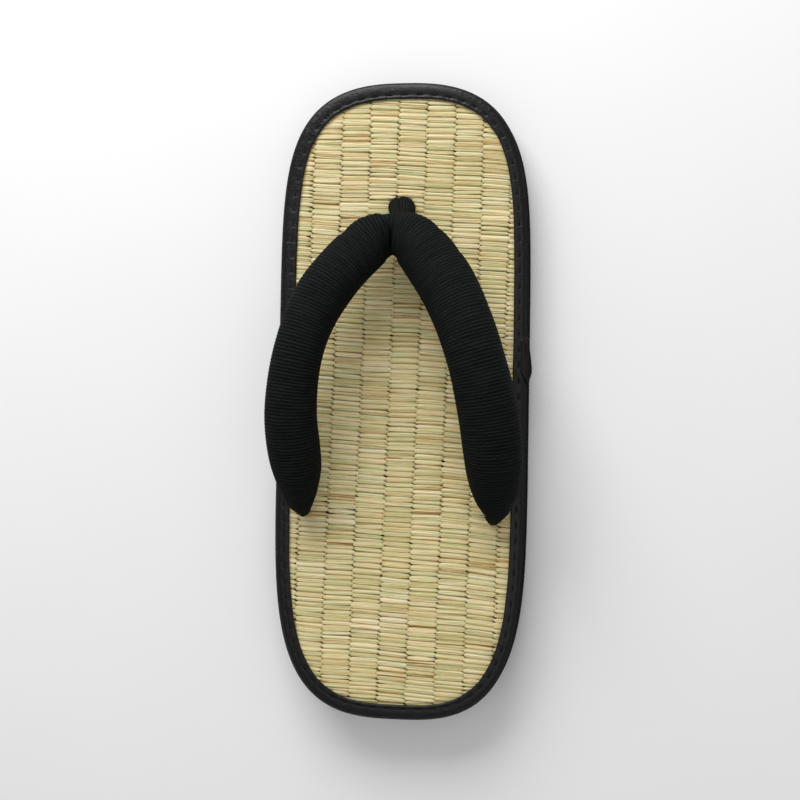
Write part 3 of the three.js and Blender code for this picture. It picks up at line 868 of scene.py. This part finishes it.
def lap_skin():
    """The tape's loose end, lying over its start. It follows the tape's section, a thickness
    above it, and stands further off at its side. Its end is cut on the slant."""
    points, out, _ = half_outline(2400)
    use = TAPE_SECTION[(TAPE_SECTION[:, 0] < 3.5) & (TAPE_SECTION[:, 1] > -7.3)]
    use = use[:np.argmin(use[:, 1]) + 1]
    share = np.linspace(0, 1, 60)
    cut = LAP_END + 4.6 * smooth((use[:, 0] - 0.5) / 2.6)
    y = LAP_START + (cut[None] - LAP_START) * share[:, None]
    side = points[:, 1] < 60
    base_x = np.interp(y, points[side, 1], points[side, 0])
    out_x, out_y = (np.interp(y, points[side, 1], out[side, k]) for k in (0, 1))
    facing = np.abs(unit(np.stack([np.gradient(use[:, 1]), np.gradient(use[:, 0])], 1)))
    stands = LAP_STANDS * lap_stand(y) * smooth((2.6 - use[:, 0]) / 1.6)
    skin = Skin()
    faces = []
    for thick in (1.0, 0.35):
        off = LAP_THICKNESS * thick * smooth(share * 8)[:, None] + 0.04
        across = use[:, 0] - off * facing[:, 0] - stands
        z = top_height(y) + use[:, 1] + off * facing[:, 1]
        faces.append(np.stack([base_x - across * out_x, y - across * out_y, z], -1))
    ring = np.concatenate([faces[0], faces[1][:, ::-1]], 1)
    rows, columns = ring.shape[:2]
    lap_length = 18.0
    # the lap is a little paler all over and much paler at its cut ends
    skin.grid(
        ring, np.linspace(0, lap_length, rows), np.arange(columns + 1), close_v=True, rub=0.2,
        wall=tape_wall(np.concatenate([use, use[::-1]])))
    half = columns // 2
    for row in (0, -1):
        end = np.stack([ring[row, :half], ring[row, half:][::-1]], 0)
        skin.grid(end, [0, 1], np.arange(half), rub=0.9)
    return skin


def stitch_skin(sizes):
    """Sewing thread: one short arch per stitch, sunk at both ends, of round section."""
    points, out, length = whole_outline(1050)
    whole = whole_stitches(length, sizes.stitch_pitch)
    centre = points - seam_inset(points, out)[:, None] * out
    loop = np.r_[centre, centre[:1]]
    along = np.linspace(0, whole, len(loop))
    t = np.linspace(-1, 1, 7)
    place = np.arange(whole)[:, None] + 0.5 + t * STITCH_LENGTH / 2 / (length / whole)
    path = np.stack([np.interp(place, along, loop[:, k]) for k in (0, 1)], -1)
    forward = unit(np.gradient(path, axis=1))
    side = np.stack([-forward[..., 1], forward[..., 0]], -1)
    radius = STITCH_RADIUS * np.sqrt(np.maximum(1 - 0.85 * t**8, 0.05))
    angle = np.linspace(0, 2 * np.pi, 7)
    lift = 0.08 - 0.34 * np.abs(t) ** 3
    xy = path[:, :, None] + side[:, :, None] * (radius[:, None] * np.cos(angle))[None, ..., None]
    z = (top_height(path[..., 1]) + lift)[:, :, None] + radius[:, None] * np.sin(angle)
    skin = Skin()
    skin.strips(np.concatenate([xy, z[..., None]], -1), t, np.linspace(0, 1, 7))
    return skin


# ---------------------------------------------------------------- straps and post

# Strap sections from the left tail round the front to the right tail: the tube's two edges in
# plan, its middle above the footbed, its thickness, and its twist in degrees, outer edge up.
STRAP_ROWS = np.array([
    (-36.8, -46.3, -39.4, -45.9, -5.8, 2.8, 0),
    (-36.7, -46.2, -39.5, -45.8, 0.4, 3.3, 4),
    (-35.7, -44.9, -40.2, -44.5, 3.4, 5.6, 12),
    (-33.0, -40.6, -43.4, -40.1, 8.0, 10.2, 16),
    (-29.8, -34.2, -45.9, -33.9, 12.6, 13.8, 12),
    (-27.7, -26.9, -47.9, -27.1, 17.0, 15.8, 6),
    (-27.5, -19.0, -49.3, -19.4, 20.6, 16.8, 2),
    (-28.3, -7.2, -49.8, -7.2, 24.6, 17.0, 0),
    (-28.0, 4.5, -48.5, 6.8, 27.0, 17.0, 0),
    (-26.1, 15.8, -45.9, 20.5, 28.0, 17.0, 0),
    (-22.6, 26.5, -42.3, 33.9, 26.8, 17.0, 0),
    (-18.0, 35.9, -37.1, 46.8, 24.4, 17.0, 0),
    (-12.2, 44.3, -29.3, 58.2, 21.0, 17.0, 0),
    (-6.7, 51.0, -22.1, 65.9, 18.0, 16.6, 0),
    (-4.0, 54.4, -15.9, 70.9, 16.4, 16.0, 0),
    (-3.2, 55.8, -9.2, 73.2, 15.4, 15.4, 0),
    (-2.5, 57.2, -2.6, 73.5, 14.6, 14.6, 0),
    (-1.5, 55.9, 4.1, 73.3, 15.4, 15.4, 0),
    (-0.7, 54.4, 11.1, 71.2, 16.4, 16.0, 0),
    (1.4, 50.9, 17.3, 67.0, 18.0, 16.8, 0),
    (6.3, 43.1, 26.7, 56.6, 21.6, 17.4, 0),
    (11.5, 33.9, 33.7, 44.5, 25.0, 17.8, 0),
    (16.0, 24.7, 38.5, 33.1, 27.2, 17.8, 0),
    (19.4, 14.7, 42.7, 21.0, 28.0, 17.8, 0),
    (22.2, 3.4, 46.4, 8.0, 26.8, 17.8, 0),
    (24.4, -8.6, 49.1, -5.6, 24.2, 17.6, 0),
    (26.1, -20.4, 50.2, -19.0, 20.2, 17.4, 2),
    (27.5, -29.2, 49.5, -28.4, 15.8, 16.2, 6),
    (30.2, -36.9, 47.5, -36.6, 11.4, 13.6, 10),
    (34.0, -42.5, 44.3, -42.7, 7.0, 9.8, 12),
    (35.7, -46.0, 41.3, -45.9, 3.2, 5.8, 8),
    (35.7, -47.2, 40.4, -46.9, 0.4, 3.8, 2),
    (35.8, -47.3, 40.2, -47.0, -5.8, 3.2, 0),
])
CREASE_ROW = 16
UNDER_FLAT = 0.86  # height of the section's lower half, as a share of the upper
CREASE_DEPTH, CREASE_FALL = 4.6, 1.4
CREASE_LEFT, CREASE_RIGHT = 5.0, 2.4  # how far the crease reaches to each side
PLEATS, PLEAT_DEPTH = 7, 0.5
BELLY, BELLY_REACH = 0.6, 16.0
# The lining's two seams, as angles round the section, and the ridge along them.
SEAM_ANGLES = (math.radians(207), math.radians(333))
RIDGE, RIDGE_WIDTH = 0.36, 0.06
STRAP_SIDES, RIB_ROWS = 60, 4

# The simulated tube: rows, sides and how much it is enlarged; its section at the start, how
# many frames it fills for, and the most it may swell.
SIM_ROWS, SIM_SIDES, SIM_SCALE = 190, 32, 30.0
SIM_START, SIM_FRAMES, SIM_CAP = 0.95, 20, 1.3
CLOTH_SETTINGS = {
    "quality": 6, "mass": 0.3, "tension_stiffness": 12.0, "compression_stiffness": 12.0,
    "shear_stiffness": 6.0, "bending_stiffness": 0.6, "shrink_min": -0.035, "use_pressure": True,
    "uniform_pressure_force": 4.0, "vertex_group_mass": "held"}


def strap_middles():
    """Middles of the table's sections: halfway between the edges in plan, and their height."""
    return np.c_[(STRAP_ROWS[:, 0:2] + STRAP_ROWS[:, 2:4]) / 2, STRAP_ROWS[:, 4]]


def strap_path(count):
    """The strap's middle line, its across and up directions, half width, half thickness and
    distance from the crease, all smooth through the table's rows."""
    known = distances(strap_middles())
    s = np.linspace(0, known[-1], count)
    values = rows_spline(known, STRAP_ROWS, s)
    inner, outer = values[:, 0:2], values[:, 2:4]
    xy = (inner + outer) / 2
    middle = np.c_[xy, top_height(xy[:, 1]) + values[:, 4]]
    forward = unit(np.gradient(middle, axis=0))
    across = np.c_[outer - inner, np.zeros(count)]
    half_width = np.linalg.norm(across, axis=1) / 2
    across = unit(across - (across * forward).sum(1, keepdims=True) * forward)
    side = np.where(middle[:, :1] < STRAP_ROWS[CREASE_ROW, 0], 1, -1)
    twist = np.radians(values[:, 6:7]) * side
    up = np.cross(forward, across)
    across, up = across * np.cos(twist) + up * np.sin(twist), up * np.cos(twist) - across * np.sin(twist)
    return middle, across, up, half_width, values[:, 5] / 2, s - known[CREASE_ROW]


def strap_form(count, around, scale=1.0):
    """The strap without ribs: an oval section, flatter underneath, carried along the path. The
    crease is a trough over the top that deepens towards the inside of the bend, steeper on the
    right, and the tails gather into pleats."""
    middle, across, up, half_width, half_thick, s = strap_path(count)
    angle = np.linspace(0, 2 * np.pi, around, endpoint=False)
    cos, sin = np.cos(angle), np.sin(angle)
    flat = np.where(sin < 0, UNDER_FLAT, 1.0)
    w, h = half_width[:, None] * cos * scale, half_thick[:, None] * sin * flat * scale
    normal = unit(
        across[:, None] * (cos * half_thick[:, None])[..., None]
        + up[:, None] * (sin * half_width[:, None])[..., None])
    points = middle[:, None] + across[:, None] * w[..., None] + up[:, None] * h[..., None]
    inner = smooth((1 - cos) / 2)
    upper = smooth((sin + 0.05) / 0.7)
    ss = s[:, None]
    reach = np.where(ss < 0, CREASE_LEFT, CREASE_RIGHT)
    trough = -CREASE_DEPTH * np.exp(-np.abs(ss / reach) ** CREASE_FALL) * smooth(0.4 + inner) * upper
    from_tail = np.minimum(s - s[0], s[-1] - s)[:, None]
    gather = smooth((24 - from_tail) / 16) * smooth((from_tail - 7) / 6)
    belly = BELLY * np.exp(-((ss / BELLY_REACH) ** 2)) * smooth(cos)
    pleats = -PLEAT_DEPTH * gather * (0.5 + 0.5 * np.cos(PLEATS * angle + 0.5 * np.sin(3 * angle)))
    soft = 0.26 * ripple(7, ss / 9.0, 1.2 * sin, 1.1 * cos) + 0.14 * ripple(8, ss / 4.0, 2.2 * sin, 2.0 * cos)
    lift = trough + belly + pleats + soft
    return points + normal * lift[..., None], normal, s, angle, half_width, from_tail


def filled(points, held):
    """Fills a tube of cloth by simulation: a mesh of the points, enlarged so that the pressure
    counts, held where held is above 0. Gives back the points where they came to rest."""
    rows, sides = points.shape[:2]
    row, side = np.meshgrid(np.arange(rows - 1) * sides, np.arange(sides), indexing="ij")
    following = (side + 1) % sides
    corners = (row + side, row + following, row + sides + following, row + sides + side)
    faces = np.stack(corners, -1).reshape(-1, 4)
    caps = [list(range(sides)), list(range((rows - 1) * sides, rows * sides))[::-1]]
    mesh = bpy.data.meshes.new("cloth_tube")
    mesh.from_pydata((points.reshape(-1, 3) * MM * SIM_SCALE).tolist(), [], faces.tolist() + caps)
    tube = bpy.data.objects.new("cloth_tube", mesh)
    bpy.context.scene.collection.objects.link(tube)
    group = tube.vertex_groups.new(name="held")
    levels = np.round(held.ravel() * 10).astype(int)
    for level in range(1, 11):
        group.add(np.flatnonzero(levels == level).tolist(), level / 10, "REPLACE")
    settings = tube.modifiers.new("Cloth", "CLOTH").settings
    for name, value in CLOTH_SETTINGS.items():
        setattr(settings, name, value)
    settings.effector_weights.gravity = 0.0
    scene = bpy.context.scene
    for number in range(1, SIM_FRAMES + 1):
        scene.frame_set(number)
    result = tube.evaluated_get(bpy.context.evaluated_depsgraph_get()).to_mesh()
    flat = np.empty(rows * sides * 3, np.float32)
    result.vertices.foreach_get("co", flat)
    tube.to_mesh_clear()
    bpy.data.objects.remove(tube)
    bpy.data.meshes.remove(mesh)
    scene.frame_set(1)
    return flat.reshape(rows, sides, 3).astype(float) / MM / SIM_SCALE


def cloth_swell(s, angle):
    """How far the filled cloth stands from the plain form, at distances s and angles angle."""
    start, _, coarse_s, coarse_angle, _, from_tail = strap_form(SIM_ROWS, SIM_SIDES, SIM_START)
    form, normal, *_ = strap_form(SIM_ROWS, SIM_SIDES)
    inner = smooth((1 - np.cos(coarse_angle)) / 2) * smooth(np.sin(coarse_angle) + 0.6)
    at_crease = np.exp(-((coarse_s[:, None] / 6.0) ** 2)) * inner**3
    held = np.maximum(smooth((7 - from_tail) / 3), at_crease)
    swell = ((filled(start, held) - form) * normal).sum(-1)
    swell = SIM_CAP * np.tanh(swell / SIM_CAP)
    swell = (np.roll(swell, 1, 1) + 2 * swell + np.roll(swell, -1, 1)) / 4
    along = rows_spline(coarse_s, swell, s)
    wrapped = np.concatenate([along[:, -3:], along, along[:, :3]], 1)
    places = (np.arange(-3, SIM_SIDES + 3)) * 2 * np.pi / SIM_SIDES
    return rows_spline(places, wrapped.T, angle).T


def strap_skin(sizes):
    """The strap's form and the swell of its filled cloth, with ribs as a rounded wave of the
    distance along it, two seam ridges and a plain lining between them underneath."""
    rows = int(distances(strap_middles())[-1] * RIB_ROWS / sizes.rib_pitch)
    points, normal, s, angle, half_width, from_tail = strap_form(rows, STRAP_SIDES)
    ss = s[:, None]
    sin = np.sin(angle)
    # Near the tails the outer seam climbs into view.
    climb = 0.75 * smooth((16 - from_tail) / 12)
    first, last = SEAM_ANGLES[0], SEAM_ANGLES[1] + climb
    seam = 0
    for place in (first, last):
        off = (angle - place + np.pi) % (2 * np.pi) - np.pi
        seam = seam + RIDGE * np.exp(-((off / RIDGE_WIDTH) ** 2))
    under = smooth((angle - first) / RIDGE_WIDTH) * smooth((last - angle) / RIDGE_WIDTH)
    under = np.maximum(under, smooth((last - 2 * np.pi - angle) / RIDGE_WIDTH))
    waver = 0.12 * ripple(9, ss / 6.0, 2.5 * sin, 2.1 * np.cos(angle))
    rib = 0.5 + 0.5 * np.cos(2 * np.pi * (ss + waver) / sizes.rib_pitch)
    rib = np.sqrt(rib) * (1 - under)
    crowd = smooth((half_width / 9.0)[:, None])
    crowd = crowd * (1 - 0.85 * np.exp(-((ss / 7.0) ** 2)) * smooth((1 - np.cos(angle)) / 2))
    lift = seam + sizes.rib_height * (rib - 0.5) * crowd
    lift = lift + cloth_swell(s, angle)
    points = points + normal * lift[..., None]
    skin = Skin()
    girth = 60.0
    # rib: where the painted highlight on the crests goes
    skin.grid(points, s, np.linspace(0, girth, STRAP_SIDES + 1), close_v=True, rib=rib, lining=under)
    for ring in (points[0], points[-1]):
        skin.fan(ring, ring.mean(0))
    return skin


# Post sections from its lower end up: x, y, height over the footbed, width, depth.
POST_ROWS = np.array([
    (-0.7, 78.9, -5.8, 9.0, 7.4),
    (-0.7, 78.9, -1.2, 10.0, 8.2),
    (-0.6, 78.6, 1.4, 10.9, 9.2),
    (0.5, 75.8, 5.2, 9.8, 8.8),
    (1.0, 71.6, 8.6, 9.4, 8.2),
    (1.2, 66.6, 11.4, 9.0, 7.6),
])


def post_skin():
    """The folded post: an oval section notched between its two legs, ribbed along its length."""
    known = distances(POST_ROWS[:, :3])
    s = np.linspace(0, known[-1], 70)
    values = rows_spline(known, POST_ROWS, s)
    middle = np.c_[values[:, :2], top_height(values[:, 1]) + values[:, 2]]
    upward = unit(np.gradient(middle, axis=0))
    across = unit(np.array([[1.0, 0, 0]]) - upward[:, :1] * upward)
    front = np.cross(upward, across)
    angle = np.linspace(0, 2 * np.pi, 96, endpoint=False)
    cos, sin = np.cos(angle), np.sin(angle)
    w = values[:, 3:4] / 2 * cos
    notch = 0.2 * np.exp(-(((w + 1.1) / 0.7) ** 2))
    d = values[:, 4:5] / 2 * sin * (1 - notch * (0.6 + 0.4 * np.sign(sin)))
    lines = 0.5 + 0.5 * np.cos(angle * 26)
    lift = 0.2 * (lines - 0.5) + 0.1 * ripple(21, s[:, None] / 3.0, 2 * sin, 2 * cos)
    normal = unit(across[:, None] * cos[:, None] + front[:, None] * sin[:, None])
    points = middle[:, None] + across[:, None] * w[..., None] + front[:, None] * d[..., None]
    points = points + normal * lift[..., None]
    skin = Skin()
    girth = 32.0
    # rib: where the painted highlight on the post's ridges goes
    skin.grid(points, s, np.linspace(0, girth, len(angle) + 1), close_v=True, rib=lines)
    for ring, centre in ((points[0], middle[0]), (points[-1], middle[-1])):
        skin.fan(ring, centre)
    return skin


# ---------------------------------------------------------------- operators

class ZORI_OT_sole(bpy.types.Operator):
    """Make the foam rubber sole"""
    bl_idname = "zori.sole"
    bl_label = "Sole"

    def execute(self, context):
        sole_skin().build("sole", sole_material(context.scene.zori_colours), "sole_rubber", "outsole")
        return {"FINISHED"}


class ZORI_OT_footbed(bpy.types.Operator):
    """Make the board and the woven rush stalks that cover it"""
    bl_idname = "zori.footbed"
    bl_label = "Footbed"

    def execute(self, context):
        scene = context.scene
        rush = rush_material(scene.zori_colours)
        board_skin().build("mat_board", board_material(), "rush", "footbed")
        stalk_skin(scene.zori_sizes).build("rush_stalks", rush, "rush", weld=False)
        return {"FINISHED"}


class ZORI_OT_binding(bpy.types.Operator):
    """Make the binding tape and its stitches"""
    bl_idname = "zori.binding"
    bl_label = "Binding"

    def execute(self, context):
        sizes = context.scene.zori_sizes
        tape = tape_material(context.scene.zori_colours)
        binding_skin(sizes).build("bound_edge", tape, "binding_tape", "edge_binding")
        stitch_skin(sizes).build("binding_stitches", thread_material(), "binding_tape")
        lap_skin().build("binding_lap", tape, "binding_tape")
        return {"FINISHED"}


class ZORI_OT_straps(bpy.types.Operator):
    """Make the padded straps"""
    bl_idname = "zori.straps"
    bl_label = "Straps"

    def execute(self, context):
        scene = context.scene
        # 7.8: how much paler the painted highlight makes the strap's rib crests
        cloth = cloth_material("strap_cloth", scene.zori_colours.strap, 7.8, lining=True)
        straps = strap_skin(scene.zori_sizes).build("padded_straps", cloth, "strap_cloth", "straps")
        return {"FINISHED"}


class ZORI_OT_post(bpy.types.Operator):
    """Make the toe post"""
    bl_idname = "zori.post"
    bl_label = "Toe post"

    def execute(self, context):
        scene = context.scene
        # 3.4: how much paler the painted highlight makes the post's ridges
        cloth = cloth_material("post_cloth", scene.zori_colours.post, 3.4)
        post_skin().build("folded_post", cloth, "post_cloth", "toe_post")
        return {"FINISHED"}


# Soft lights: name, place, size and power, and the point they are aimed at, in metres and watts.
LIGHTS = (
    ("key_toe", (-0.22, 0.80, 0.56), (0.8, 0.6), 8.8, (0, 0.05, 0)),
    ("overhead", (0.1, -0.1, 1.3), (1.2, 1.2), 2.6, (0, 0, 0)))
SKY_LIGHT = 0.34
FLOOR_HALF = 4.0
SENSOR_WIDTH = 36.0


def add_light(name, place, size, power, aim):
    """A rectangular soft light at place, aimed at aim."""
    light = bpy.data.lights.new(name, "AREA")
    light.shape = "RECTANGLE"
    light.size, light.size_y = size
    light.energy = power
    lamp = bpy.data.objects.new(name, light)
    lamp.location = place
    lamp.rotation_euler = (Vector(aim) - Vector(place)).to_track_quat("-Z", "Y").to_euler()
    bpy.context.scene.collection.objects.link(lamp)


class ZORI_OT_stage(bpy.types.Operator):
    """Set the floor, the lights and the camera"""
    bl_idname = "zori.stage"
    bl_label = "Stage"

    def execute(self, context):
        scene = context.scene
        stage = scene.zori_stage
        floor = bpy.data.meshes.new("floor")
        corners = [(x * FLOOR_HALF, y * FLOOR_HALF, 0) for x, y in ((-1, -1), (1, -1), (1, 1), (-1, 1))]
        floor.from_pydata(corners, [], [(0, 1, 2, 3)])
        paper = Recipe("floor_paper", Roughness=0.9, Specular_IOR_Level=0.1)
        mottle = paper.noise(paper.place((0.02, 0.02, 0.02)), 2.0)
        paper.feed(Base_Color=paper.mix(mottle, linear((0.985, 0.985, 0.985)), linear((0.995, 0.995, 0.995))))
        floor.materials.append(paper.material)
        ground = bpy.data.objects.new("floor", floor)
        scene.collection.objects.link(ground)

        world = bpy.data.worlds.new("studio")
        world.use_nodes = True
        sky = world.node_tree.nodes["Background"]
        sky.inputs["Color"].default_value = (1, 1, 1, 1)
        sky.inputs["Strength"].default_value = SKY_LIGHT
        scene.world = world
        for light in LIGHTS:
            add_light(*light)
        scene.view_settings.view_transform = "Standard"

        camera = bpy.data.objects.new("camera", bpy.data.cameras.new("camera"))
        eye = Vector((stage.eye_side, stage.eye_along, stage.eye_height)) * MM
        aim = Vector((0, 0, (BALL_TOP + HEEL_TOP) / 2 * MM))
        distance = (eye - aim).length
        camera.data.sensor_width = SENSOR_WIDTH
        camera.data.lens = SENSOR_WIDTH / (stage.frame_width * MM / distance)
        back = (eye - aim).normalized()
        toe = Vector((math.sin(-stage.roll), math.cos(-stage.roll), 0))
        side = toe.cross(back).normalized()
        above = back.cross(side)
        turn = Matrix((side, above, back)).transposed().to_4x4()
        camera.matrix_world = Matrix.Translation(eye) @ turn
        scene.collection.objects.link(camera)
        scene.camera = camera
        return {"FINISHED"}


class ZORI_PT_panel(bpy.types.Panel):
    """Lists the steps that build the sandal"""
    bl_idname = "ZORI_PT_panel"
    bl_label = "Zori sandal"
    bl_space_type = "VIEW_3D"
    bl_region_type = "UI"
    bl_category = "Zori"

    def draw(self, context):
        for operator in OPERATORS:
            self.layout.operator(operator.bl_idname)
        for group in ("zori_sizes", "zori_colours", "zori_stage"):
            held = getattr(context.scene, group)
            for name in held.bl_rna.properties.keys():
                if name not in ("rna_type", "name"):
                    self.layout.prop(held, name)


GROUPS = {"zori_sizes": ZoriSizes, "zori_colours": ZoriColours, "zori_stage": ZoriStage}
OPERATORS = (ZORI_OT_stage, ZORI_OT_sole, ZORI_OT_footbed, ZORI_OT_binding, ZORI_OT_post, ZORI_OT_straps)


def register():
    for name, group in GROUPS.items():
        bpy.utils.register_class(group)
        setattr(bpy.types.Scene, name, bpy.props.PointerProperty(type=group))
    for operator in OPERATORS:
        bpy.utils.register_class(operator)
    bpy.utils.register_class(ZORI_PT_panel)


def unregister():
    bpy.utils.unregister_class(ZORI_PT_panel)
    for operator in reversed(OPERATORS):
        bpy.utils.unregister_class(operator)
    for name, group in GROUPS.items():
        delattr(bpy.types.Scene, name)
        bpy.utils.unregister_class(group)


def main():
    register()
    bpy.ops.zori.stage()
    bpy.ops.zori.sole()
    bpy.ops.zori.footbed()
    bpy.ops.zori.binding()
    bpy.ops.zori.post()
    bpy.ops.zori.straps()


if __name__ == "__main__":
    main()
